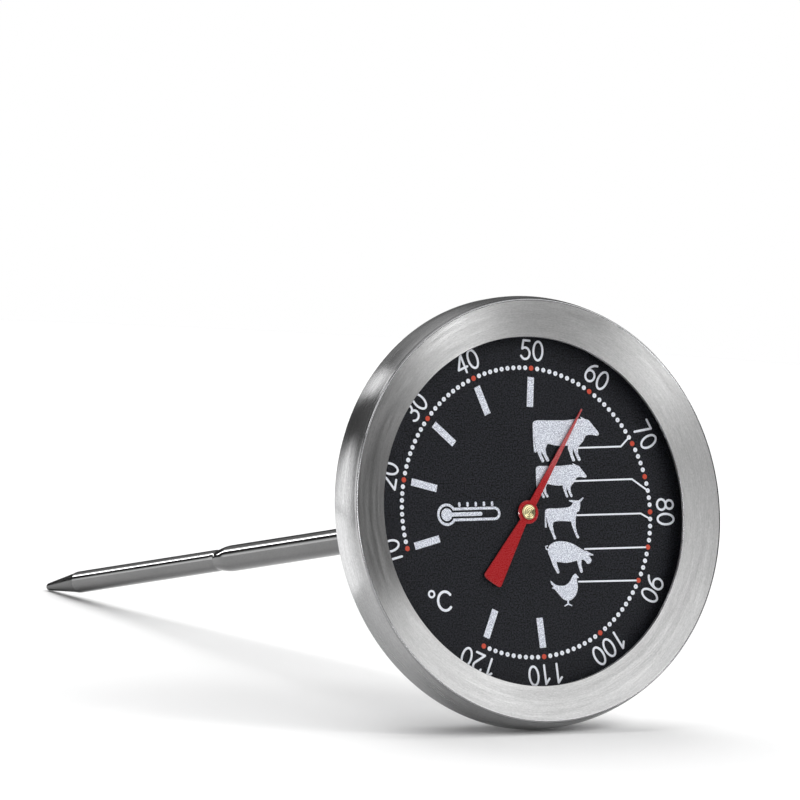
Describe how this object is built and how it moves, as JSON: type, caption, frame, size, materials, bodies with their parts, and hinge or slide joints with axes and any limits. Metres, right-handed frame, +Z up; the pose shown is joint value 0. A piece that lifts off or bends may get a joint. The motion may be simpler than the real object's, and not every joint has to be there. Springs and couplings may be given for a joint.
{
  "type": "dial meat thermometer",
  "caption": "Round dial thermometer with a pointed steel stem that is pushed into roasting meat to read its core temperature.",
  "frame": {"origin": "middle of the thermometer's footprint on the table it lies on, at table height", "axes": "+Z up; +Y along the table from the dial towards the stem's tip; +X towards the dial's 3 o'clock, so the dial faces -Y and tilts up by 12.7 degrees"},
  "size_m": [0.068, 0.1574, 0.0668],
  "materials": {
    "brushed_steel": "stainless steel, brushed round the ring",
    "case_steel": "drawn stainless steel, satin",
    "polished_steel": "stainless steel, polished",
    "glass": "clear flat glass",
    "seal_rubber": "black silicone rubber",
    "spacer_black": "black heat-proof plastic",
    "dial_black": "black enamel with printed scale",
    "seal_fibre": "dark grey fibre washer",
    "brass": "turned brass",
    "bimetal": "bimetal strip",
    "spindle_steel": "drawn steel wire",
    "pointer_red": "red gloss paint"
  },
  "bodies": {
    "housing": {"bezel_ring": "brushed_steel", "case_cup": "case_steel", "lens": "glass", "lens_gasket": "seal_rubber", "spacer_ring": "spacer_black", "dial_plate": "dial_black", "stem_collar": "case_steel", "collar_seal": "seal_fibre", "collar_nut": "brass", "stem_tube": "polished_steel", "probe_tip": "polished_steel", "upper_bearing": "brass", "middle_bearing": "brass", "lower_bearing": "brass", "coil_anchor": "brass", "bimetal_coil": "bimetal"},
    "movement": {"spindle": "spindle_steel", "coil_collar": "brass", "thrust_collar": "brass", "pointer": "pointer_red", "pointer_cap": "brass"}
  },
  "joints": [
    {"name": "pointer_turn", "type": "hinge", "parent": "housing", "child": "movement", "pos_m": [0, -0.06759, 0.03346], "axis": [0, 0.9755, -0.22], "range_deg": [-137.6, 169.7], "stiffness_Nm_per_rad": 0.0002, "deforming": ["bimetal_coil"]}
  ]
}
